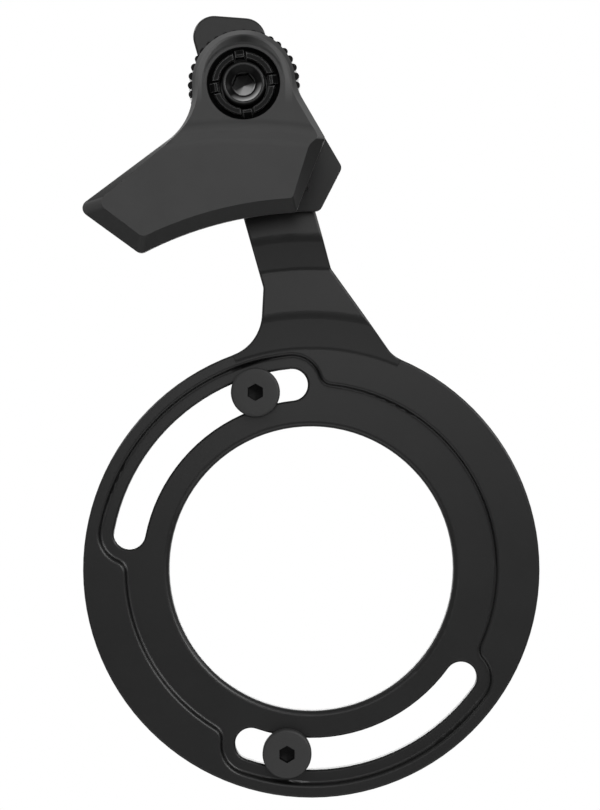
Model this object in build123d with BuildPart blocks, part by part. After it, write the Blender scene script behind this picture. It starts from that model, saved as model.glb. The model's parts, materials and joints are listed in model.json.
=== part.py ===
"""Bicycle chain guide: a pressed ring plate with an arm, and a guide head set sideways by a dial.

Millimetres, +Z up. The origin is the centre of the ring on its mounting face, +Y points inboard,
and a height is measured outboard from the mounting face, along -Y.
"""

import math
import os

from build123d import *

# Arc slots and their bolts; angles run from +X towards +Z
slot_radius = 37.85
slot_width = 6.5
slot_sweep_angle = 73.0
slot_start_angles = (96.0, 251.0)
slot_edge = 0.35
bolt_offset_angle = 11.5
bolt_shank_radius = 2.5
bolt_relief_radius = 2.1
bolt_head_radius = 5.0
bolt_head_height = 2.2
bolt_hex = 3.0
bolt_hex_depth = 1.4
bolt_grip = 7.5
bolt_edge = 0.4

# Ring of the back plate, round the slots
plate_thickness = 2.5
plate_edge = 0.3
ring_bore_radius = 29.1
ring_bore_edge = 1.1
ring_rim = 2.6
recess_depth = 1.5
recess_margin = 2.8
recess_blend = 2.6
recess_wall = 0.9
recess_fillet = 0.6

# Arm, in line with the eye of the guide head; its joggles run about the ring axis
arm_tilt_angle = 15.8
arm_width = 14.2
tab_left_reach = 19.0
tab_right_reach = 13.8
tab_corner = 4.2
kink_rise = 12.6
kink_round = 2.0
foot_left_reach = 7.85
foot_right_reach = 23.4
foot_sink = 8.5
root_left_fillet = 9.0
root_right_fillet = 6.0
lower_joggle_inset = 0.8
lower_joggle_length = 6.6
lower_joggle_rise = 3.2
arm_flat = 9.4
upper_joggle_length = 6.0
upper_joggle_rise = 3.0
bend_inside = 1.5

# Adjuster between the arm and the guide head
guide_travel = 2.0
running_clearance = 0.05
end_clearance = 0.3
stud_radius = 6.6
stud_height = 5.0
stud_neck_radius = 4.5
stud_flange_radius = 6.0
stud_flange = 1.3
stud_edge = 0.4
wheel_teeth = 36
wheel_tip_radius = 10.9
wheel_tooth_radius = 0.75
wheel_knurl_width = 5.0
wheel_skirt_radius = 9.2
wheel_web = 1.5
wheel_face_gap = 0.2
hub_radius = 6.1
hub_clearance = 0.1
hub_bore_radius = 4.75
hub_reach = 2.4
hub_edge = 0.25
claw_start_angle = 8.0
claw_count = 4
claw_width = 1.7
claw_slit = 0.45
claw_thickness = 1.0
claw_hook = 0.5
claw_hook_gap = 0.15
claw_nose = 1.0

# Clamp bolt
clamp_shank_radius = 2.5
clamp_head_radius = 4.25
clamp_head_height = 5.0
clamp_hex = 4.0
clamp_hex_depth = 3.2
clamp_mouth_radius = 3.6
clamp_mouth_depth = 1.0
clamp_length = 12.0
clamp_edge = 0.4
clamp_hole_radius = 2.8
washer_radius = 4.6
washer_thickness = 0.6

# Guide head; its lower edge runs about the ring axis, outside the chain
guide_radius = 70.9
eye_x = -13.2
eye_rise = 24.7
channel_width = 7.5
eye_plate = 2.8
eye_mouth_radius = 7.1
eye_shoulder = 1.9
dish_radius = 8.9
dish_depth = 1.2
rim_height = 1.2
face_rise = 1.7
face_step_drop = 8.7
face_step_length = 2.6
face_step_radius = 92.0
face_step_bend = 2.4
face_valley_depth = 0.3
face_valley_length = 1.7

# Outline of its rim and of its face, measured from the eye; its top stands out above the eye
head_top_rise = 0.45
rim_eye_radius = 10.0
rim_eye_fillet = 11.5
rim_tip = (-32.3, -24.0)
rim_neck = (-14.9, -11.0)
rim_shoulder = (15.8, -10.4)
rim_waist = (11.1, -2.3)
rim_heel_angle = 117.9
rim_toe_angle = 92.5
face_setback = 2.4
face_eye_radius = 7.5
face_eye_fillet = 14.0
face_tip = (-28.2, -23.2)
face_neck = (-16.3, -13.4)
face_shoulder = (13.1, -10.7)
face_waist = (8.6, -2.9)
face_heel_angle = 116.3
face_toe_angle = 92.9
head_corner = 1.6
toe_corner = 0.8

# Inner guide, its outline measured from the eye
inner_plate = 2.0
inner_setback = 1.1
inner_heel_angle = 116.5
inner_toe_angle = 88.7
inner_right = (19.3, -14.9)
inner_top_right = (15.3, -8.3)
inner_top_left = (-12.8, -13.6)
inner_left = (-20.8, -21.6)
inner_corner = 1.4
mouth_length = 5.0
mouth_depth = 1.1
dial_clearance = 1.3
roof_rise = 5.1
roof_thickness = 3.2
roof_left = -12.8
roof_right = 12.6
rib_thickness = 1.8
rib_clearance = 0.3
rib_engagement = 3.5
rib_start = 13.8
rib_length = 7.0
screw_boss_radius = 2.8
screw_offsets = (-9.3, 9.6)
screw_shank_radius = 1.25
screw_clearance = 0.15
screw_head_radius = 2.5
screw_head_height = 1.25
screw_bite = 3.0
screw_hex = 1.6
screw_hex_depth = 0.8

# Heights that follow from the sizes above
ring_face = plate_thickness + recess_depth
lower_step_back = recess_depth + lower_joggle_rise
arm_back = lower_step_back + upper_joggle_rise
arm_face = arm_back + plate_thickness
stud_face = arm_face + stud_height
inner_back = arm_face + guide_travel + end_clearance
inner_face = inner_back + inner_plate
outer_back = inner_face + channel_width
outer_rim = outer_back + rim_height
eye_face = outer_back + eye_plate
guide_face = eye_face + face_rise
eye_shoulder_face = eye_face - eye_shoulder
wheel_front = outer_back - wheel_face_gap
wheel_back = inner_back
knurl_back = wheel_front - wheel_knurl_width
web_back = stud_face + guide_travel + end_clearance
web_face = web_back + wheel_web
clamp_seat = web_face + washer_thickness
hook_seat = eye_shoulder_face + claw_hook_gap
claw_top = hook_seat + claw_nose

# Places that follow from the sizes above
ring_radius = slot_radius + slot_width / 2 + recess_margin + ring_rim
lower_joggle_start = ring_radius - lower_joggle_inset
lower_joggle_end = lower_joggle_start + lower_joggle_length
upper_joggle_start = lower_joggle_end + arm_flat
upper_joggle_end = upper_joggle_start + upper_joggle_length
bend_outside = bend_inside + plate_thickness
joggle_root = lower_joggle_start - bend_outside
foot_z = ring_radius - foot_sink
eye_z = guide_radius + eye_rise
kink_drop = (eye_z - ring_radius - kink_rise) / math.cos(math.radians(arm_tilt_angle))
kink_x = eye_x + kink_drop * math.sin(math.radians(arm_tilt_angle))
plan_reach = eye_z + tab_left_reach + arm_width
inner_radius = guide_radius + inner_setback
roof_underside = guide_radius + roof_rise
roof_top = roof_underside + roof_thickness
eye_bore_radius = hub_radius + hub_clearance
screw_points = tuple((eye_x + across, roof_underside + screw_boss_radius) for across in screw_offsets)
slot_ends = tuple((start, start + slot_sweep_angle) for start in slot_start_angles)
bolt_angles = tuple(start + bolt_offset_angle for start in slot_start_angles)


def at_ring(height):
    """Plane across the ring axis at a height, its normal pointing outboard."""
    return Plane.XZ.offset(height)


def at_eye(height):
    """Plane across the eye axis at a height, its normal pointing outboard."""
    return Plane(origin=(eye_x, -height, eye_z), x_dir=(1, 0, 0), z_dir=(0, -1, 0))


def on_arm(along, across):
    """Point of the arm, measured from the eye along and across the arm's centre line."""
    tilt = math.radians(arm_tilt_angle)
    x = eye_x + across * math.cos(tilt) - along * math.sin(tilt)
    z = eye_z + across * math.sin(tilt) + along * math.cos(tilt)
    return (x, z)


def about_ring(radius, angle):
    """Point at a radius and an angle about the ring axis."""
    turn = math.radians(angle)
    return (radius * math.cos(turn), radius * math.sin(turn))


def from_eye(offset):
    """Point at an offset from the eye."""
    return (eye_x + offset[0], eye_z + offset[1])


def slot_line(start, end):
    """Centre line of one arc slot."""
    return Edge.make_circle(slot_radius, start_angle=start, end_angle=end)


def on_circle(vertex, radius):
    """True for a sketch vertex that lies on a circle about the ring axis."""
    return abs(math.hypot(vertex.X, vertex.Y) - radius) < 0.001


def lies_flat(edge):
    """True for an edge that lies at one height."""
    return edge.bounding_box().size.Y < 0.001


def on_plan_outline(edge):
    """True for an edge of the sheet that follows the outline of its plan."""
    middle = edge @ 0.5
    upright = abs((edge % 0.5).Y) > 0.99
    return not upright and plan_outline.distance_to(Vertex(middle.X, 0, middle.Z)) < 0.01


def recess_outline(margin):
    """Outline of the pressed recess: the inner zone of the ring, bulging round both slots."""
    with BuildSketch() as outline:
        Circle(slot_radius + margin)
        for start, end in slot_ends:
            SlotArc(slot_line(start, end), slot_width + 2 * (recess_margin + margin))
        corners = [v for v in outline.vertices() if on_circle(v, slot_radius + margin)]
        fillet(corners, recess_blend - margin)
    return outline.sketch


# Plan of the back plate: ring and arm, with the arm's root filleted into the ring
with BuildSketch(at_ring(0)) as plan:
    half = arm_width / 2
    with BuildLine():
        Polyline(
            on_arm(tab_left_reach, -half),
            on_arm(tab_right_reach, half),
            on_arm(-kink_drop, half),
            (kink_x + foot_right_reach, foot_z),
            (kink_x - foot_left_reach, foot_z),
            on_arm(-kink_drop, -half),
            close=True,
        )
    make_face()
    fillet(plan.vertices().sort_by(Axis.Y)[-2:], tab_corner)
    fillet(plan.vertices().sort_by(Axis.Y)[2:4], kink_round)
    Circle(ring_radius)
    roots = [v for v in plan.vertices() if on_circle(v, ring_radius) and v.Y > 0]
    left_root, right_root = sorted(roots, key=lambda v: v.X)
    fillet(left_root, root_left_fillet)
    right_root = plan.vertices().sort_by_distance((right_root.X, right_root.Y))[0]
    fillet(right_root, root_right_fillet)
    arm_ends = [v for v in plan.vertices() if on_circle(v, ring_radius) and v.Y > 0]
plan_outline = plan.sketch.face().outer_wire()

# Flat ring, open where the joggled arm takes its place
with BuildPart() as flat_ring:
    with BuildSketch(at_ring(recess_depth)):
        Circle(ring_radius)
    extrude(amount=plate_thickness)
    chamfer(flat_ring.edges().filter_by(lies_flat), plate_edge)
    with BuildSketch(at_ring(recess_depth)) as arm_sector:
        with BuildLine():
            Polyline((0, 0), *((2 * v.X, 2 * v.Y) for v in arm_ends), close=True)
        make_face()
        Circle(joggle_root, mode=Mode.SUBTRACT)
    extrude(amount=plate_thickness, mode=Mode.SUBTRACT)

# Back plate: a sheet joggled about the ring axis, cut to the plan and joined to the flat ring
with BuildPart() as back_plate:
    with BuildSketch(Plane.XY):
        with BuildLine():
            FilletPolyline(
                (slot_radius, -recess_depth),
                (lower_joggle_start, -recess_depth),
                (lower_joggle_end, -lower_step_back),
                (upper_joggle_start, -lower_step_back),
                (upper_joggle_end, -arm_back),
                (plan_reach, -arm_back),
                radius=[bend_outside, bend_inside, bend_outside, bend_inside],
            )
            offset(amount=plate_thickness, side=Side.RIGHT)
        make_face()
    revolve(axis=Axis.Y)
    with BuildSketch(at_ring(0)):
        add(plan.sketch_local)
    extrude(amount=arm_face + plate_thickness, mode=Mode.INTERSECT)
    chamfer(back_plate.edges().filter_by(on_plan_outline), plate_edge)
    with BuildSketch(at_ring(0)):
        Circle(ring_radius)
        add(arm_sector.sketch_local, mode=Mode.SUBTRACT)
    extrude(amount=arm_face, mode=Mode.SUBTRACT)
    add(flat_ring.part)
    with BuildSketch(at_ring(0)):
        add(recess_outline(recess_wall))
    extrude(amount=ring_face - plate_thickness / 2)
    chamfer(back_plate.edges(Select.LAST).filter_by(lies_flat).group_by(Axis.Y)[-1], recess_fillet)
    with BuildSketch(at_ring(plate_thickness)):
        add(recess_outline(0))
    extrude(amount=plate_thickness, mode=Mode.SUBTRACT)
    fillet(back_plate.edges(Select.LAST).filter_by(lies_flat), recess_fillet)
    with BuildSketch(at_ring(0)):
        Circle(ring_bore_radius)
    extrude(amount=ring_face, mode=Mode.SUBTRACT)
    fillet(back_plate.edges(Select.LAST).filter_by(lies_flat).sort_by(Axis.Y)[0], ring_bore_edge)
    with BuildSketch(at_ring(0)):
        for start, end in slot_ends:
            SlotArc(slot_line(start, end), slot_width)
    extrude(amount=ring_face, mode=Mode.SUBTRACT)
    chamfer(back_plate.edges(Select.LAST).filter_by(lies_flat), slot_edge)
    with BuildSketch(at_eye(0)):
        Circle(stud_neck_radius + running_clearance)
    extrude(amount=arm_face + plate_thickness, mode=Mode.SUBTRACT)
back_plate.part.label = "back_plate"


def mount_bolt(angle):
    """Low-head bolt in one arc slot, its head seated in the recess."""
    x, z = about_ring(slot_radius, angle)
    seat = Plane(origin=(x, -plate_thickness, z), x_dir=(1, 0, 0), z_dir=(0, -1, 0))
    with BuildPart() as bolt:
        with BuildSketch(seat):
            Circle(bolt_head_radius)
        extrude(amount=bolt_head_height)
        chamfer(bolt.edges().sort_by(Axis.Y)[0], bolt_edge)
        with BuildSketch(seat):
            Circle(bolt_relief_radius)
        extrude(amount=-plate_thickness - end_clearance)
        with BuildSketch(seat.offset(-plate_thickness - end_clearance)):
            Circle(bolt_shank_radius)
        extrude(amount=end_clearance - bolt_grip)
        chamfer(bolt.edges().sort_by(Axis.Y)[-1], bolt_edge)
        with BuildSketch(seat.offset(bolt_head_height)):
            RegularPolygon(bolt_hex / 2, 6, major_radius=False, rotation=30)
        extrude(amount=-bolt_hex_depth, mode=Mode.SUBTRACT)
    return bolt.part


upper_bolt, lower_bolt = (mount_bolt(angle) for angle in bolt_angles)
upper_bolt.label = "upper_mount_bolt"
lower_bolt.label = "lower_mount_bolt"

# Stud: a threaded boss riveted into the tab of the arm, tapped for the clamp bolt
with BuildPart() as stud:
    with BuildSketch(at_eye(arm_back - stud_flange)):
        Circle(stud_flange_radius)
    extrude(amount=stud_flange)
    with BuildSketch(at_eye(arm_back)):
        Circle(stud_neck_radius)
    extrude(amount=plate_thickness)
    with BuildSketch(at_eye(arm_face)):
        Circle(stud_radius)
    extrude(amount=stud_height)
    chamfer(stud.edges().sort_by(Axis.Y)[0], stud_edge)
    chamfer(stud.edges().sort_by(Axis.Y)[-1], stud_edge)
    with BuildSketch(at_eye(stud_face)):
        Circle(clamp_shank_radius + running_clearance)
    extrude(amount=-stud_face, mode=Mode.SUBTRACT)
stud.part.label = "adjuster_stud"

# Adjuster wheel: knurled dial, threaded skirt on the stud, and a split hub snapped into the eye
with BuildPart() as wheel:
    with BuildSketch(at_eye(wheel_back)):
        Circle(wheel_skirt_radius)
    extrude(amount=wheel_front - wheel_back)
    with BuildSketch(at_eye(knurl_back)):
        tooth_circle = wheel_tip_radius - wheel_tooth_radius
        Circle(tooth_circle)
        with PolarLocations(tooth_circle, wheel_teeth):
            Circle(wheel_tooth_radius)
    extrude(amount=wheel_knurl_width)
    with BuildSketch(at_eye(wheel_front)):
        Circle(hub_radius)
        with PolarLocations(hub_radius, claw_count, start_angle=claw_start_angle):
            Rectangle(2 * hub_radius - hub_bore_radius, claw_width + 2 * claw_slit, mode=Mode.SUBTRACT)
    extrude(amount=hub_reach)
    with BuildSketch(at_eye(wheel_back)):
        Circle(stud_radius + running_clearance)
    extrude(amount=web_back - wheel_back, mode=Mode.SUBTRACT)
    with BuildSketch(at_eye(wheel_back)):
        Circle(clamp_hole_radius)
    extrude(amount=wheel_front, mode=Mode.SUBTRACT)
    with BuildSketch(at_eye(web_face)):
        Circle(hub_bore_radius)
    extrude(amount=wheel_front, mode=Mode.SUBTRACT)
    chamfer(wheel.edges().filter_by(GeomType.CIRCLE).group_by(Axis.Y)[0], hub_edge)
    claw_inside = hub_radius - claw_thickness
    for index in range(claw_count):
        turn = math.radians(claw_start_angle + index * 360 / claw_count)
        radial = (math.cos(turn), 0, math.sin(turn))
        across = (math.sin(turn), 0, -math.cos(turn))
        with BuildSketch(Plane(origin=(eye_x, 0, eye_z), x_dir=radial, z_dir=across)):
            with BuildLine():
                Polyline(
                    (claw_inside, web_face),
                    (hub_radius, web_face),
                    (hub_radius, hook_seat),
                    (hub_radius + claw_hook, hook_seat),
                    (hub_radius + claw_hook, hook_seat + claw_nose / 4),
                    (hub_radius - claw_thickness / 2, claw_top),
                    (claw_inside, claw_top),
                    close=True,
                )
            make_face()
        extrude(amount=claw_width / 2, both=True)
wheel.part.label = "adjuster_wheel"

# Clamp bolt and its washer
with BuildPart() as clamp_bolt:
    with BuildSketch(at_eye(clamp_seat)):
        Circle(clamp_head_radius)
    extrude(amount=clamp_head_height)
    chamfer(clamp_bolt.edges().sort_by(Axis.Y)[0], clamp_edge)
    with BuildSketch(at_eye(clamp_seat)):
        Circle(clamp_shank_radius)
    extrude(amount=-clamp_length)
    chamfer(clamp_bolt.edges().sort_by(Axis.Y)[-1], clamp_edge)
    mouth_taper = math.degrees(math.atan((clamp_mouth_radius - clamp_hex / 2) / clamp_mouth_depth))
    with BuildSketch(at_eye(clamp_seat + clamp_head_height)):
        Circle(clamp_mouth_radius)
    extrude(amount=-clamp_mouth_depth, taper=mouth_taper, mode=Mode.SUBTRACT)
    with BuildSketch(at_eye(clamp_seat + clamp_head_height)):
        RegularPolygon(clamp_hex / 2, 6, major_radius=False, rotation=claw_start_angle)
    extrude(amount=-clamp_hex_depth, mode=Mode.SUBTRACT)
clamp_bolt.part.label = "clamp_bolt"

with BuildPart() as washer:
    with BuildSketch(at_eye(web_face)):
        Circle(washer_radius)
        Circle(clamp_hole_radius, mode=Mode.SUBTRACT)
    extrude(amount=washer_thickness)
washer.part.label = "clamp_washer"


def side_to_eye(point, along, outward, eye_radius, eye_fillet):
    """Fillet from a straight side of the guide head to its eye: start, middle and end."""
    eye = Vector(eye_x, eye_z + head_top_rise)
    reach = eye_fillet - (eye - point).dot(outward)
    back = math.sqrt((eye_radius + eye_fillet) ** 2 - reach**2)
    centre = eye + outward * reach - along * back
    side_touch = centre - outward * eye_fillet
    eye_touch = eye + (centre - eye).normalized() * eye_radius
    middle = centre + ((side_touch + eye_touch) * 0.5 - centre).normalized() * eye_fillet
    return side_touch, middle, eye_touch


def head_outline(radius, heel_angle, toe_angle, shoulder, waist, eye_radius, eye_fillet, neck, tip):
    """Outline of the guide head: an edge about the ring axis, and an eye filleted into both sides."""
    heel = about_ring(radius, heel_angle)
    toe = about_ring(radius, toe_angle)
    top = Vector(eye_x, eye_z + head_top_rise + eye_radius)
    flank = (Vector(waist) - Vector(shoulder)).normalized()
    flank_outward = Vector(flank.Y, -flank.X)
    right = side_to_eye(Vector(from_eye(shoulder)), flank, flank_outward, eye_radius, eye_fillet)
    spine = (Vector(neck) - Vector(tip)).normalized()
    spine_outward = Vector(-spine.Y, spine.X)
    left = side_to_eye(Vector(from_eye(tip)), spine, spine_outward, eye_radius, eye_fillet)
    with BuildSketch() as outline:
        with BuildLine():
            Polyline(toe, from_eye(shoulder), right[0])
            ThreePointArc(*right)
            ThreePointArc(right[2], top, left[2])
            ThreePointArc(*reversed(left))
            Polyline(left[0], from_eye(tip), heel)
            ThreePointArc(heel, about_ring(radius, (heel_angle + toe_angle) / 2), toe)
        make_face()
        for corner in (from_eye(tip), heel):
            fillet(outline.vertices().sort_by_distance(corner)[0], head_corner)
        for corner in (from_eye(shoulder), toe):
            fillet(outline.vertices().sort_by_distance(corner)[0], toe_corner)
    return outline.sketch


# Outer guide: a bevelled plate beside the chain, stepped back to the eye
with BuildPart() as outer_guide:
    rim = head_outline(
        guide_radius,
        rim_heel_angle,
        rim_toe_angle,
        rim_shoulder,
        rim_waist,
        rim_eye_radius,
        rim_eye_fillet,
        rim_neck,
        rim_tip,
    )
    face = head_outline(
        guide_radius + face_setback,
        face_heel_angle,
        face_toe_angle,
        face_shoulder,
        face_waist,
        face_eye_radius,
        face_eye_fillet,
        face_neck,
        face_tip,
    )
    for level, outline in ((outer_back, rim), (outer_rim, rim), (guide_face, face)):
        with BuildSketch(at_ring(level)):
            add(outline)
    loft(ruled=True)
    step_axis = Axis((eye_x, 0, eye_z - face_step_drop - face_step_radius), (0, 1, 0))
    with BuildSketch(Plane(origin=step_axis.position, x_dir=(1, 0, 0), z_dir=(0, 0, 1))):
        with BuildLine():
            FilletPolyline(
                (face_step_radius + eye_z, -eye_face),
                (face_step_radius + face_valley_length, -eye_face),
                (face_step_radius, face_valley_depth - eye_face),
                (face_step_radius - face_step_length, -guide_face),
                (0, -guide_face),
                radius=face_step_bend,
            )
            Polyline(
                (0, -guide_face),
                (0, 0),
                (face_step_radius + eye_z, 0),
                (face_step_radius + eye_z, -eye_face),
            )
        make_face()
    revolve(axis=step_axis, mode=Mode.INTERSECT)
    with BuildSketch(at_eye(outer_back)):
        Circle(eye_bore_radius)
    extrude(amount=eye_plate, mode=Mode.SUBTRACT)
    with BuildSketch(at_eye(eye_shoulder_face)):
        Circle(eye_mouth_radius)
    extrude(amount=eye_shoulder, mode=Mode.SUBTRACT)
    dish_slope = math.hypot(dish_radius, dish_depth)
    dish_normal = (0, -dish_radius / dish_slope, dish_depth / dish_slope)
    with BuildSketch(Plane(origin=(eye_x, -eye_face, eye_z), x_dir=(1, 0, 0), z_dir=dish_normal)):
        Circle(dish_radius - dish_depth)
    extrude(amount=2 * dish_depth, taper=-45, mode=Mode.SUBTRACT)
    with BuildSketch(at_ring(outer_back)):
        with Locations(*screw_points):
            Circle(screw_shank_radius + running_clearance)
    extrude(amount=screw_bite + end_clearance, mode=Mode.SUBTRACT)
outer_guide.part.label = "outer_guide"

# Inner guide: wall on the other side of the chain, roof over it and ribs that straddle the arm
with BuildPart() as inner_guide:
    inner_corners = [from_eye(p) for p in (inner_right, inner_top_right, inner_top_left, inner_left)]
    inner_heel = about_ring(inner_radius, inner_heel_angle)
    inner_toe = about_ring(inner_radius, inner_toe_angle)
    inner_mid = about_ring(inner_radius, (inner_heel_angle + inner_toe_angle) / 2)
    with BuildSketch(at_ring(inner_back)) as inner_plan:
        with BuildLine():
            Polyline(inner_toe, *inner_corners, inner_heel)
            ThreePointArc(inner_heel, inner_mid, inner_toe)
        make_face()
        fillet(inner_plan.vertices(), inner_corner)
        with Locations((eye_x, eye_z)):
            Circle(wheel_tip_radius + dial_clearance, mode=Mode.SUBTRACT)
    extrude(amount=inner_plate)
    mouth_end = Vector(inner_corners[0])
    mouth_edge = (mouth_end - Vector(inner_toe)).normalized()
    mouth_plane = Plane(
        origin=(mouth_end.X, -inner_face, mouth_end.Y),
        x_dir=(-mouth_edge.Y, 0, mouth_edge.X),
        z_dir=(mouth_edge.X, 0, mouth_edge.Y),
    )
    with BuildSketch(mouth_plane):
        with BuildLine():
            Polyline((0, 0), (mouth_length, 0), (0, -mouth_depth), close=True)
        make_face()
    extrude(amount=inner_radius, both=True, mode=Mode.SUBTRACT)
    with BuildSketch(at_ring(inner_face)):
        with Locations((eye_x + (roof_left + roof_right) / 2, (roof_underside + roof_top) / 2)):
            Rectangle(roof_right - roof_left, roof_thickness)
        with Locations(*screw_points):
            Circle(screw_boss_radius)
    extrude(amount=channel_width)
    for side in (-1, 1):
        near = side * (arm_width / 2 + rib_clearance)
        far = near + side * rib_thickness
        with BuildSketch(at_ring(inner_back)):
            with BuildLine():
                Polyline(
                    on_arm(-rib_start, near),
                    on_arm(-rib_start, far),
                    on_arm(-rib_start - rib_length, far),
                    on_arm(-rib_start - rib_length, near),
                    close=True,
                )
            make_face()
        extrude(amount=arm_face - rib_engagement - inner_back)
    for x, z in screw_points:
        with BuildSketch(Plane(origin=(x, 0, z), x_dir=(1, 0, 0), z_dir=(0, 0, 1))):
            with BuildLine():
                Polyline(
                    (0, -inner_back),
                    (screw_head_radius + running_clearance, -inner_back),
                    (screw_shank_radius + screw_clearance, -inner_back - screw_head_height),
                    (screw_shank_radius + screw_clearance, -outer_back),
                    (0, -outer_back),
                    close=True,
                )
            make_face()
        revolve(axis=Axis((x, 0, z), (0, 1, 0)), mode=Mode.SUBTRACT)
inner_guide.part.label = "inner_guide"

# Countersunk screws that hold the inner guide to the outer one
with BuildPart() as guide_screws:
    for x, z in screw_points:
        with BuildSketch(Plane(origin=(x, 0, z), x_dir=(1, 0, 0), z_dir=(0, 0, 1))):
            with BuildLine():
                Polyline(
                    (0, -inner_back),
                    (screw_head_radius, -inner_back),
                    (screw_shank_radius, -inner_back - screw_head_height),
                    (screw_shank_radius, -outer_back - screw_bite),
                    (0, -outer_back - screw_bite),
                    close=True,
                )
            make_face()
        revolve(axis=Axis((x, 0, z), (0, 1, 0)))
    with BuildSketch(at_ring(inner_back)):
        with Locations(*screw_points):
            RegularPolygon(screw_hex / 2, 6, major_radius=False)
    extrude(amount=screw_hex_depth, mode=Mode.SUBTRACT)
guide_screws.part.label = "guide_screws"

os.makedirs("parts", exist_ok=True)
pieces = (
    back_plate.part,
    upper_bolt,
    lower_bolt,
    stud.part,
    wheel.part,
    clamp_bolt.part,
    washer.part,
    outer_guide.part,
    inner_guide.part,
    guide_screws.part,
)
for piece in pieces:
    export_step(piece, f"parts/{piece.label}.step")
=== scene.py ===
"""Looks of the chain guide: finishes, threaded bolts, studio light and the camera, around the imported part."""

import json
import math

import bmesh
import bpy
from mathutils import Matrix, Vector


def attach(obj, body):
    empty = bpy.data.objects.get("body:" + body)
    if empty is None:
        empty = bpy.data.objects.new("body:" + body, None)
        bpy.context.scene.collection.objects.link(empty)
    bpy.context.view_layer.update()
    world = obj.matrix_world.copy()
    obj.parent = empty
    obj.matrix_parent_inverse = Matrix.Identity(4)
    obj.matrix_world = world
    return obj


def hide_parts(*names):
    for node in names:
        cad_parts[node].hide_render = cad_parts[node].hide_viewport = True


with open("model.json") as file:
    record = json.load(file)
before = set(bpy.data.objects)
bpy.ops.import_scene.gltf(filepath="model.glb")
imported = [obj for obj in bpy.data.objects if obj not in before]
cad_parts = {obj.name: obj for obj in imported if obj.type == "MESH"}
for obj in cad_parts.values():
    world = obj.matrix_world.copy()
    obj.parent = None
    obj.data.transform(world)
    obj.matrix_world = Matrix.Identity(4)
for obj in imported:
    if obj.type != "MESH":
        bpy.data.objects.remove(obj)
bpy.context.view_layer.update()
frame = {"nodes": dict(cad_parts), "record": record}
nodes = frame["nodes"]

MM = 0.001

# Camera: straight at the ring's face, the picture taken as 600 by 810 pixels
PICTURE_HEIGHT = 810
FOCAL_PIXELS = 1911
SENSOR_HEIGHT = 36.0
CAMERA_PLACE = (-2.3 * MM, -393.0 * MM, 33.5 * MM)
CAMERA_NEAR = 10 * MM

# Stage: a pale table below the object, and the point that the lamps face
FLOOR_LEVEL = -120.0 * MM
FLOOR_RADIUS = 480.0 * MM
FLOOR_MIDDLE = -180.0 * MM
FLOOR_STEPS = 96
FLOOR_COLOUR = (0.72, 0.72, 0.72)
FLOOR_ROUGHNESS = 0.8
TABLE_GLOW_LEVEL = FLOOR_LEVEL + 5 * MM
LAMP_AIM = Vector((0, 0, 40 * MM))
WORLD_LIGHT = 0.18

# Colours, linear
PLATE_BLACK = (0.006, 0.006, 0.006)
PLASTIC_BLACK = (0.041, 0.041, 0.041)
DIAL_BLACK = (0.0035, 0.0035, 0.0035)
# painted highlight on the dial hub's edges
DIAL_EDGE_HIGHLIGHT = (0.160, 0.160, 0.160)
BOLT_BLACK = (0.0165, 0.0165, 0.0165)
SCREW_BLACK = (0.006, 0.006, 0.006)
SOCKET_BLACK = (0.003, 0.003, 0.003)
# painted highlight in the clamp bolt's socket
BOWL_HIGHLIGHT = (0.27, 0.27, 0.27)

# Variation that every finish has
TONE_SPREAD = 0.1
GLOSS_SPREAD = 0.03
WORN_TONE = 1.6
WORN_SHARE = (0.2, 0.8)
EDGE_COSINE = 0.99

# Eye of the guide head, on the dial's axis
EYE_X = -13.2 * MM
EYE_Z = 95.6 * MM
LEAST_REACH = 0.1 * MM

# Blends of the finishes round the eye, from their start to their end: by reach from its axis
EYE_MOUTH = (7.05 * MM, 7.15 * MM)
SIDE_REACH = (7.6 * MM, 8.0 * MM)
RIM_REACH = (7.95 * MM, 8.15 * MM)
LIP_REACH = (9.3 * MM, 9.5 * MM)
BEVEL_REACH = (10.5 * MM, 11.5 * MM)
HUB_REACH = (6.5 * MM, 6.7 * MM)
BOWL_MOUTH = (2.5 * MM, 3.4 * MM)
BOWL_FLOOR = (2.1 * MM, 2.3 * MM)

# The same, by height over the eye, by distance to its right, and by depth in the part's frame
SIDE_FOOT = (-15 * MM, -11 * MM)
RIM_FOOT = (-4 * MM, 1 * MM)
TIP_ACROSS = (-16 * MM, -13.5 * MM)
INBOARD_DEPTH = (-22.1 * MM, -21.9 * MM)

# Shares of the plastic's colour
# painted highlight on the sides of the eye's plate
SIDE_HIGHLIGHT_TONE = 2.2
# painted light and shade on the eye's rim and lip
RIM_TOP_TONE = 0.5
RIM_SIDE_TONE = 1.8
LIP_RIGHT_TONE = 1.0
LIP_TOP_TONE = 1.7
# painted shade on the guide head's bevels
LOWER_BEVEL_TONE = 0.75
TIP_BEVEL_TONE = 0.25
RIGHT_BEVEL_TONE = 0.5
INBOARD_TONE = 0.7

# Bolts, in millimetres: heights run outboard from the ring's mounting face
SLOT_RADIUS = 37.85
BOLT_ANGLES = {"upper_mount_bolt": 107.5, "lower_mount_bolt": 262.5}
SEAT_PLAY = 0.02  # lets the heads run along the slots without touching the plate
THREAD_RADIUS = 2.5
THREAD_ROOT = 2.05
THREAD_PITCH = 0.8
THREAD_LEAD = 0.45
ROOT_FLAT = 0.12
FLANK = 0.70
NECK_RADIUS = 2.1
DRILL_POINT = 0.35
TURN_STEPS = 96
ROWS_PER_PITCH = 10
SHARP_ANGLE = 35


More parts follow.
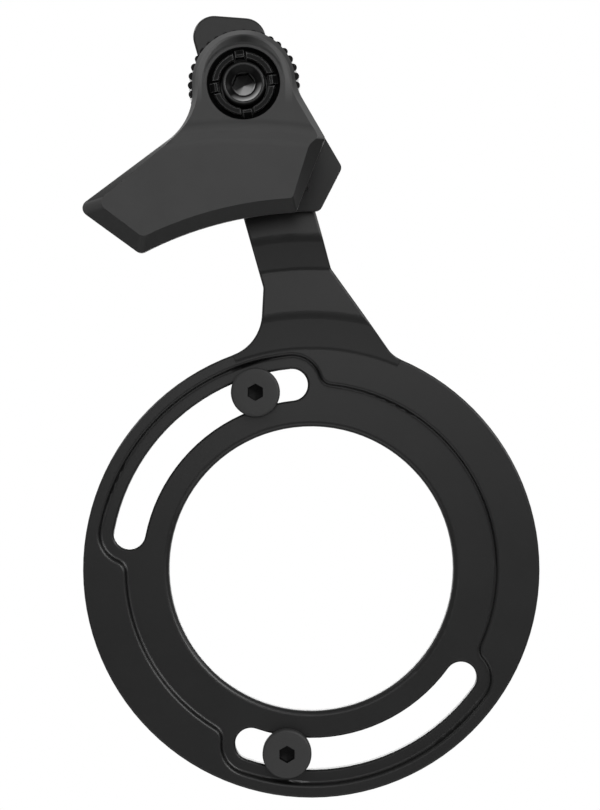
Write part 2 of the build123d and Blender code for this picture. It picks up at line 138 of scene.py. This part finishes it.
class Shader:
    """A material's node tree, with short calls for the nodes used here."""

    def __init__(self, name):
        self.material = bpy.data.materials.new(name)
        self.material.use_nodes = True
        self.tree = self.material.node_tree
        self.surface = self.tree.nodes["Principled BSDF"]

    def node(self, kind, **values):
        made = self.tree.nodes.new(kind)
        for key, value in values.items():
            setattr(made, key, value)
        return made

    def link(self, source, target):
        self.tree.links.new(source, target)

    def place(self):
        """Object coordinates, in metres in the part's frame."""
        return self.node("ShaderNodeTexCoord").outputs["Object"]

    def facing(self):
        """Direction in which the surface faces."""
        return self.node("ShaderNodeNewGeometry").outputs["Normal"]

    def split(self, vector):
        """The X, Y and Z of a vector."""
        made = self.node("ShaderNodeSeparateXYZ")
        self.link(vector, made.inputs["Vector"])
        return made.outputs

    def noise(self, size, detail=2.0, rough=0.5):
        """Noise with patches of about the given size in metres."""
        made = self.node("ShaderNodeTexNoise")
        made.inputs["Scale"].default_value = 1.0 / size
        made.inputs["Detail"].default_value = detail
        made.inputs["Roughness"].default_value = rough
        self.link(self.place(), made.inputs["Vector"])
        return made.outputs["Fac"]

    def ramp(self, value, low, high, start=0.0, end=1.0):
        """Maps start..end to low..high, and holds the ends."""
        made = self.node("ShaderNodeMapRange")
        made.inputs["From Min"].default_value = start
        made.inputs["From Max"].default_value = end
        made.inputs["To Min"].default_value = low
        made.inputs["To Max"].default_value = high
        self.link(value, made.inputs["Value"])
        return made.outputs["Result"]

    def rise(self, value, blend):
        """Mask that is full past the blend."""
        return self.ramp(value, 0.0, 1.0, *blend)

    def fall(self, value, blend):
        """Mask that is full before the blend."""
        return self.ramp(value, 1.0, 0.0, *blend)

    def math(self, operation, *values):
        made = self.node("ShaderNodeMath", operation=operation)
        for socket, value in zip(made.inputs, values):
            if isinstance(value, float):
                socket.default_value = value
            else:
                self.link(value, socket)
        return made.outputs["Value"]

    def product(self, first, *others):
        for other in others:
            first = self.math("MULTIPLY", first, other)
        return first

    def length(self, across, up):
        squares = self.math("ADD", self.product(across, across), self.product(up, up))
        return self.math("SQRT", squares)

    def mix(self, factor, low, high):
        """Mixes two colours, each a tuple or a socket."""
        made = self.node("ShaderNodeMix", data_type="RGBA")
        for name, colour in (("A", low), ("B", high)):
            if isinstance(colour, tuple):
                made.inputs[name].default_value = (*colour, 1.0)
            else:
                self.link(colour, made.inputs[name])
        self.link(factor, made.inputs["Factor"])
        return made.outputs["Result"]

    def paint(self, tone):
        """Makes a colour the surface's own, and keeps it for the next coat."""
        self.tone = tone
        self.link(tone, self.surface.inputs["Base Color"])

    def coat(self, mask, colour):
        """Lays a colour over the last one where the mask is full."""
        self.paint(self.mix(mask, self.tone, colour))

    def round_edges(self, radius, full):
        """Normal that turns softly over the edges, and a mask that is full where its cosine is down to full."""
        soft = self.node("ShaderNodeBevel", samples=6)
        soft.inputs["Radius"].default_value = radius
        turn = self.node("ShaderNodeVectorMath", operation="DOT_PRODUCT")
        self.link(soft.outputs["Normal"], turn.inputs[0])
        self.link(self.facing(), turn.inputs[1])
        return soft.outputs["Normal"], self.fall(turn.outputs["Value"], (full, EDGE_COSINE))

    def bump(self, height, distance, normal):
        made = self.node("ShaderNodeBump")
        made.inputs["Distance"].default_value = distance
        self.link(height, made.inputs["Height"])
        self.link(normal, made.inputs["Normal"])
        self.link(made.outputs["Normal"], self.surface.inputs["Normal"])


def shade(colour, factor):
    return tuple(channel * factor for channel in colour)


def finish(name, colour, roughness, specular, patch, grain, depth, edge=0.12 * MM, full=0.75):
    """A black finish: slow colour and gloss variation, rubbed edges and a fine grain."""
    shader = Shader(name)
    slow = shader.noise(patch, detail=3.0)
    fine = shader.noise(grain, detail=1.0)
    normal, worn = shader.round_edges(edge, full)
    # edge mask: real edge wear in this finish, and painted highlights on the dial's hub
    shader.worn = shader.product(worn, shader.ramp(slow, *WORN_SHARE))
    shader.gloss = shader.ramp(slow, roughness - GLOSS_SPREAD, roughness + GLOSS_SPREAD)
    shader.paint(shader.mix(slow, shade(colour, 1 - TONE_SPREAD), shade(colour, 1 + TONE_SPREAD)))
    shader.coat(shader.worn, shade(colour, WORN_TONE))
    shader.link(shader.gloss, shader.surface.inputs["Roughness"])
    shader.bump(fine, depth, normal)
    shader.surface.inputs["Specular IOR Level"].default_value = specular
    return shader


def from_eye(shader):
    """Steps to the right and up from the eye's axis, and the reach from it."""
    place = shader.split(shader.place())
    across = shader.math("SUBTRACT", place["X"], EYE_X)
    up = shader.math("SUBTRACT", place["Z"], EYE_Z)
    return across, up, shader.length(across, up)


def share_of(shader, step, reach):
    """Share that a step has of the reach, with the axis itself left out."""
    return shader.math("DIVIDE", step, shader.math("MAXIMUM", reach, LEAST_REACH))


def paint_eye_shade(shader):
    """Painted shade: a darker, dull colour inside of the eye's mouth, for the shade in the deep bore."""
    _, _, reach = from_eye(shader)
    shader.coat(shader.fall(reach, EYE_MOUTH), shade(DIAL_BLACK, 0.5))
    dull = shader.math("MAXIMUM", shader.fall(reach, EYE_MOUTH), shader.gloss)
    shader.link(dull, shader.surface.inputs["Roughness"])


def paint_side_highlights(shader):
    """Painted highlight on the sides of the eye's plate, paler where they face left or right."""
    facing = shader.split(shader.facing())
    _, up, reach = from_eye(shader)
    lit_sides = shader.product(
        shader.rise(shader.math("ABSOLUTE", facing["X"]), (0.25, 0.65)),
        shader.rise(facing["Z"], (-0.25, 0.0)),
        shader.rise(up, SIDE_FOOT),
        shader.rise(reach, SIDE_REACH),
    )
    shader.coat(lit_sides, shade(PLASTIC_BLACK, SIDE_HIGHLIGHT_TONE))


def paint_rim_light_and_shade(shader):
    """Painted light and shade on the rim of the eye's plate: pale at the sides, and dark on top inside a paler
    lip.
    """
    across, up, _ = from_eye(shader)
    reach = shader.length(across, shader.math("MAXIMUM", up, 0.0))
    aim = share_of(shader, across, reach)
    side = shader.rise(shader.math("ABSOLUTE", aim), (0.05, 0.65))
    rim = shader.mix(side, shade(PLASTIC_BLACK, RIM_TOP_TONE), shade(PLASTIC_BLACK, RIM_SIDE_TONE))
    top = shader.product(shader.fall(aim, (0.0, 0.5)), shader.ramp(aim, 0.3, 1.0, -1.0, -0.75))
    lip = shader.mix(top, shade(PLASTIC_BLACK, LIP_RIGHT_TONE), shade(PLASTIC_BLACK, LIP_TOP_TONE))
    both = shader.mix(shader.rise(reach, LIP_REACH), rim, lip)
    shader.coat(shader.product(shader.rise(up, RIM_FOOT), shader.rise(reach, RIM_REACH)), both)


def paint_bevel_shade(shader):
    """Painted shade on the guide head's bevels: the lower and right ones away from the eye, and the upward ones
    at the left tip.
    """
    facing = shader.split(shader.facing())
    across, _, reach = from_eye(shader)
    away = shader.rise(reach, BEVEL_REACH)
    lower = shader.product(away, shader.fall(facing["Z"], (-0.6, -0.4)))
    tip = shader.product(shader.rise(facing["Z"], (0.42, 0.58)), shader.fall(across, TIP_ACROSS))
    right = shader.product(away, shader.rise(facing["X"], (0.4, 0.6)), shader.fall(facing["Z"], (-0.2, -0.1)))
    shader.coat(lower, shade(PLASTIC_BLACK, LOWER_BEVEL_TONE))
    shader.coat(tip, shade(PLASTIC_BLACK, TIP_BEVEL_TONE))
    shader.coat(right, shade(PLASTIC_BLACK, RIGHT_BEVEL_TONE))


def darken_inboard(shader):
    """The inboard half of the guide head, a little darker."""
    place = shader.split(shader.place())
    shader.coat(shader.rise(place["Y"], INBOARD_DEPTH), shade(PLASTIC_BLACK, INBOARD_TONE))


def paint_hub_highlights(shader):
    """Painted highlight on the edges of the dial's split hub and of its claws, near the eye's axis."""
    _, _, reach = from_eye(shader)
    shader.coat(shader.product(shader.worn, shader.fall(reach, HUB_REACH)), DIAL_EDGE_HIGHLIGHT)


def paint_bowl_highlight(shader):
    """Painted highlight: a bright metal colour on the low side of the clamp bolt's socket, at its mouth and on
    its floor.
    """
    across, up, reach = from_eye(shader)
    low = shader.math("SUBTRACT", shader.product(across, 0.42), shader.product(up, 0.91))
    aim = share_of(shader, low, reach)
    mouth = shader.product(shader.rise(aim, (0.35, 0.95)), shader.rise(reach, BOWL_MOUTH))
    floor = shader.product(shader.rise(aim, (0.05, 0.75)), shader.fall(reach, BOWL_FLOOR))
    shader.coat(shader.math("MAXIMUM", mouth, floor), BOWL_HIGHLIGHT)


plate_finish = finish(
    "black_plate", PLATE_BLACK, roughness=0.32, specular=0.14,
    patch=9 * MM, grain=0.16 * MM, depth=0.0006 * MM, edge=0.28 * MM,
)
plastic_finish = finish(
    "guide_plastic", PLASTIC_BLACK, roughness=0.42, specular=0.03,
    patch=6 * MM, grain=0.12 * MM, depth=0.0010 * MM,
)
dial_finish = finish(
    "dial_plastic", DIAL_BLACK, roughness=0.30, specular=0.03,
    patch=4 * MM, grain=0.12 * MM, depth=0.0008 * MM, edge=0.26 * MM, full=0.92,
)
bolt_finish = finish(
    "bolt_steel", BOLT_BLACK, roughness=0.55, specular=0.15,
    patch=0.5 * MM, grain=0.16 * MM, depth=0.0140 * MM,
)
screw_finish = finish(
    "black_steel", SCREW_BLACK, roughness=0.30, specular=0.14,
    patch=2.0 * MM, grain=0.10 * MM, depth=0.0006 * MM,
)
socket_finish = finish(
    "socket_steel", SOCKET_BLACK, roughness=0.50, specular=0.03,
    patch=1.2 * MM, grain=0.10 * MM, depth=0.0010 * MM,
)
bowl_finish = finish(
    "bowl_steel", SOCKET_BLACK, roughness=0.30, specular=0.04,
    patch=1.2 * MM, grain=0.10 * MM, depth=0.0010 * MM,
)

for add_coat in (paint_eye_shade, paint_side_highlights, paint_rim_light_and_shade, paint_bevel_shade, darken_inboard):
    add_coat(plastic_finish)
paint_hub_highlights(dial_finish)
paint_bowl_highlight(bowl_finish)

FINISHES = {
    "black_plate": plate_finish,
    "guide_plastic": plastic_finish,
    "dial_plastic": dial_finish,
    "black_steel": screw_finish,
}


def dress_nodes():
    """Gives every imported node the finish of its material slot."""
    for subpart in frame["record"]["subparts"]:
        mesh = nodes[subpart["node"]].data
        mesh.materials.clear()
        mesh.materials.append(FINISHES[subpart["material_slot"]].material)


dress_nodes()


def even(radius, height):
    """Ring of a turned piece with one radius."""
    return [(radius, height)] * TURN_STEPS


def hexagon(flats, height):
    """Ring that follows a hexagon, with a corner at the start."""
    sixth = math.pi / 3
    steps = (2 * math.pi * step / TURN_STEPS for step in range(TURN_STEPS))
    return [(flats / 2 / math.cos(turn % sixth - sixth / 2), height) for turn in steps]


def socket(flats, point, floor, mouth):
    """Rings of a hexagon socket, from the middle of its drilled floor up to its mouth."""
    return [
        even(point, floor - DRILL_POINT),
        hexagon(flats - 0.1, floor),
        hexagon(flats, floor + 0.1),
        hexagon(flats, mouth),
    ]


def rounded(radius, height, across, along, steps=6):
    """Rings round an edge, from a face at a height to a side at a radius."""
    rings = []
    for step in range(steps + 1):
        turn = math.pi / 2 * step / steps
        rings.append(even(radius - across + across * math.sin(turn), height - along + along * math.cos(turn)))
    return rings


def thread(start, end):
    """Rings of a thread that runs down from start to end, run out over the lead at both ends."""
    rings = []
    depth = THREAD_RADIUS - THREAD_ROOT
    count = round((start - end) / THREAD_PITCH * ROWS_PER_PITCH)
    for index in range(count + 1):
        height = start + (end - start) * index / count
        run_out = min(1.0, (start - height) / THREAD_LEAD, (height - end) / THREAD_LEAD)
        ring = []
        for step in range(TURN_STEPS):
            phase = (height / THREAD_PITCH + step / TURN_STEPS) % 1.0
            rise = min(1.0, max(0.0, (abs(2 * phase - 1) - ROOT_FLAT) / FLANK))
            ring.append((THREAD_ROOT + depth * min(run_out, rise), height))
        rings.append(ring)
    return rings


def turned(name, rings, x, z, turn):
    """Closed piece from rings about an axis along Y at x and z, its ends closed at the middle."""
    mesh = bpy.data.meshes.new(name)
    form = bmesh.new()
    grid = []
    for ring in rings:
        row = []
        for step, (radius, height) in enumerate(ring):
            angle = turn + 2 * math.pi * step / TURN_STEPS
            row.append(form.verts.new((
                (x + radius * math.cos(angle)) * MM,
                -height * MM,
                (z + radius * math.sin(angle)) * MM,
            )))
        grid.append(row)
    for upper, lower in zip(grid, grid[1:]):
        for step in range(TURN_STEPS):
            after = (step + 1) % TURN_STEPS
            form.faces.new((upper[step], upper[after], lower[after], lower[step]))
    for row, height in ((grid[0], rings[0][0][1]), (grid[-1], rings[-1][0][1])):
        middle = form.verts.new((x * MM, -height * MM, z * MM))
        for step in range(TURN_STEPS):
            form.faces.new((row[step], middle, row[(step + 1) % TURN_STEPS]))
    bmesh.ops.recalc_face_normals(form, faces=form.faces)
    form.to_mesh(mesh)
    form.free()
    mesh.shade_smooth()
    mesh.set_sharp_from_angle(angle=math.radians(SHARP_ANGLE))
    piece = bpy.data.objects.new(name, mesh)
    bpy.context.scene.collection.objects.link(piece)
    return piece


def dress_head(bolt, x, z, seat, finishes, zones):
    """Gives a bolt its finishes, and each face of the head the first zone that reaches past it."""
    for each in finishes:
        bolt.data.materials.append(each.material)
    for face in bolt.data.polygons:
        if -face.center.y / MM > seat:
            out = math.hypot(face.center.x / MM - x, face.center.z / MM - z)
            face.material_index = next(index for limit, index in zones if out < limit)


def mount_bolt(name, angle):
    """Low-head bolt with a rounded head, a hexagon socket and a cut thread."""
    seat, top, floor, tip = 2.5 + SEAT_PLAY, 4.7, 3.3, -7.5
    head, flats = 5.0, 3.0
    rings = socket(flats, 0.4, floor, top - 0.06)
    rings += [hexagon(flats + 0.1, top), even(2.4, top), even(3.2, top)]
    rings += rounded(head, top, 0.55, 0.45)
    rings += [even(head, seat + 0.15), even(head - 0.15, seat), even(NECK_RADIUS + 0.3, seat)]
    rings += [even(NECK_RADIUS, seat - 0.3), even(NECK_RADIUS, -0.2)]
    rings += thread(-0.3, tip)
    turn = math.radians(angle)
    x, z = SLOT_RADIUS * math.cos(turn), SLOT_RADIUS * math.sin(turn)
    bolt = turned(name + "_threaded", rings, x, z, math.radians(30))
    dress_head(bolt, x, z, seat, (bolt_finish, socket_finish), ((1.85, 1), (math.inf, 0)))
    return bolt


def clamp_bolt(name):
    """Socket cap bolt of the eye, with its wide socket mouth and a cut thread."""
    seat, top, tip = 19.6, 24.6, 7.6
    mouth, floor = top - 1.25, top - 3.2
    head, flats, shank_end = 4.25, 4.0, 17.2
    rings = socket(flats, 0.3, floor, mouth)
    rings += [even(2.32, mouth), even(3.5, top - 0.05), even(3.6, top), even(3.75, top)]
    rings += rounded(head, top, 0.4, 0.4)
    rings += [even(head, seat), even(THREAD_RADIUS + 0.1, seat), even(THREAD_RADIUS, seat - 0.1)]
    rings += [even(THREAD_RADIUS, shank_end), even(NECK_RADIUS, shank_end - 0.3)]
    rings += thread(shank_end - 0.4, tip)
    x, z = EYE_X / MM, EYE_Z / MM
    bolt = turned(name + "_threaded", rings, x, z, math.radians(8))
    finishes = (screw_finish, bowl_finish, socket_finish)
    dress_head(bolt, x, z, seat, finishes, ((3.5, 1), (3.95, 0), (math.inf, 2)))
    return bolt


for node, body, threaded in (
    ("upper_mount_bolt", "upper_bolt", mount_bolt("upper_mount_bolt", BOLT_ANGLES["upper_mount_bolt"])),
    ("lower_mount_bolt", "lower_bolt", mount_bolt("lower_mount_bolt", BOLT_ANGLES["lower_mount_bolt"])),
    ("clamp_bolt", "guide", clamp_bolt("clamp_bolt")),
):
    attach(threaded, body)
    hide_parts(node)


def add_floor():
    bpy.ops.mesh.primitive_circle_add(
        vertices=FLOOR_STEPS, radius=FLOOR_RADIUS, fill_type="NGON", location=(0, FLOOR_MIDDLE, FLOOR_LEVEL)
    )
    floor = bpy.context.object
    floor.name = "floor"
    shader = Shader("floor")
    shader.surface.inputs["Base Color"].default_value = (*FLOOR_COLOUR, 1)
    shader.surface.inputs["Roughness"].default_value = FLOOR_ROUGHNESS
    floor.data.materials.append(shader.material)


def add_world(strength):
    """White to the camera and in reflections, and a soft pale light for everything else."""
    world = bpy.data.worlds.new("studio")
    bpy.context.scene.world = world
    world.use_nodes = True
    tree = world.node_tree
    background = tree.nodes["Background"]
    path = tree.nodes.new("ShaderNodeLightPath")
    seen = path.outputs["Is Camera Ray"]
    for ray in ("Is Glossy Ray", "Is Transmission Ray"):
        either = tree.nodes.new("ShaderNodeMath")
        either.operation = "MAXIMUM"
        tree.links.new(seen, either.inputs[0])
        tree.links.new(path.outputs[ray], either.inputs[1])
        seen = either.outputs["Value"]
    level = tree.nodes.new("ShaderNodeMix")
    level.inputs["A"].default_value = strength
    level.inputs["B"].default_value = 1.0
    tree.links.new(seen, level.inputs["Factor"])
    tree.links.new(level.outputs["Result"], background.inputs["Strength"])
    background.inputs["Color"].default_value = (1, 1, 1, 1)


def add_lamp(name, power, diffuse=True, glossy=True):
    """Area lamp that can be kept out of the diffuse light or out of the gloss."""
    data = bpy.data.lights.new(name, "AREA")
    data.energy = power
    lamp = bpy.data.objects.new(name, data)
    bpy.context.scene.collection.objects.link(lamp)
    lamp.visible_diffuse = diffuse
    lamp.visible_glossy = glossy
    return lamp


def add_softbox(name, azimuth, elevation, distance, size, power, **kept):
    """Square lamp that faces the object: azimuth from the front to the right, in degrees."""
    turn, rise = math.radians(azimuth), math.radians(elevation)
    out = Vector((math.sin(turn) * math.cos(rise), -math.cos(turn) * math.cos(rise), math.sin(rise)))
    lamp = add_lamp(name, power, **kept)
    lamp.data.size = size
    lamp.location = LAMP_AIM + out * distance
    lamp.rotation_euler = (-out).to_track_quat("-Z", "Y").to_euler()


def add_table_glow(width, depth, forward, power):
    """Lamp that lies on the floor before the object and shows only in its gloss, as a lit table does."""
    lamp = add_lamp("table", power, diffuse=False)
    lamp.data.shape = "RECTANGLE"
    lamp.data.size = width
    lamp.data.size_y = depth
    lamp.location = (0, -forward, TABLE_GLOW_LEVEL)
    lamp.rotation_euler = (math.pi, 0, 0)


def add_camera():
    data = bpy.data.cameras.new("camera")
    data.sensor_fit = "VERTICAL"
    data.sensor_height = SENSOR_HEIGHT
    data.lens = FOCAL_PIXELS / PICTURE_HEIGHT * SENSOR_HEIGHT
    data.clip_start = CAMERA_NEAR
    camera = bpy.data.objects.new("camera", data)
    bpy.context.scene.collection.objects.link(camera)
    camera.location = CAMERA_PLACE
    camera.rotation_euler = (math.radians(90), 0, 0)
    bpy.context.scene.camera = camera


add_floor()
add_world(WORLD_LIGHT)
add_softbox("fill", azimuth=-10, elevation=48, distance=0.8, size=0.50, power=6.2, glossy=False)
add_softbox("key", azimuth=33, elevation=21, distance=0.7, size=0.34, power=6.5, diffuse=False)
add_softbox("front", azimuth=-2, elevation=10, distance=0.8, size=0.28, power=1.15)
add_softbox("left", azimuth=-95, elevation=36, distance=0.7, size=0.20, power=1.4, diffuse=False)
add_softbox("right", azimuth=84, elevation=27, distance=0.7, size=0.20, power=1.6, diffuse=False)
add_table_glow(width=0.40, depth=0.15, forward=0.095, power=0.42)
add_softbox("rear", azimuth=176, elevation=12, distance=0.8, size=0.50, power=2.6, diffuse=False)
add_softbox("rear_fill", azimuth=184, elevation=0, distance=0.8, size=0.30, power=1.2, glossy=False)
add_camera()

bpy.context.scene.view_settings.view_transform = "Standard"
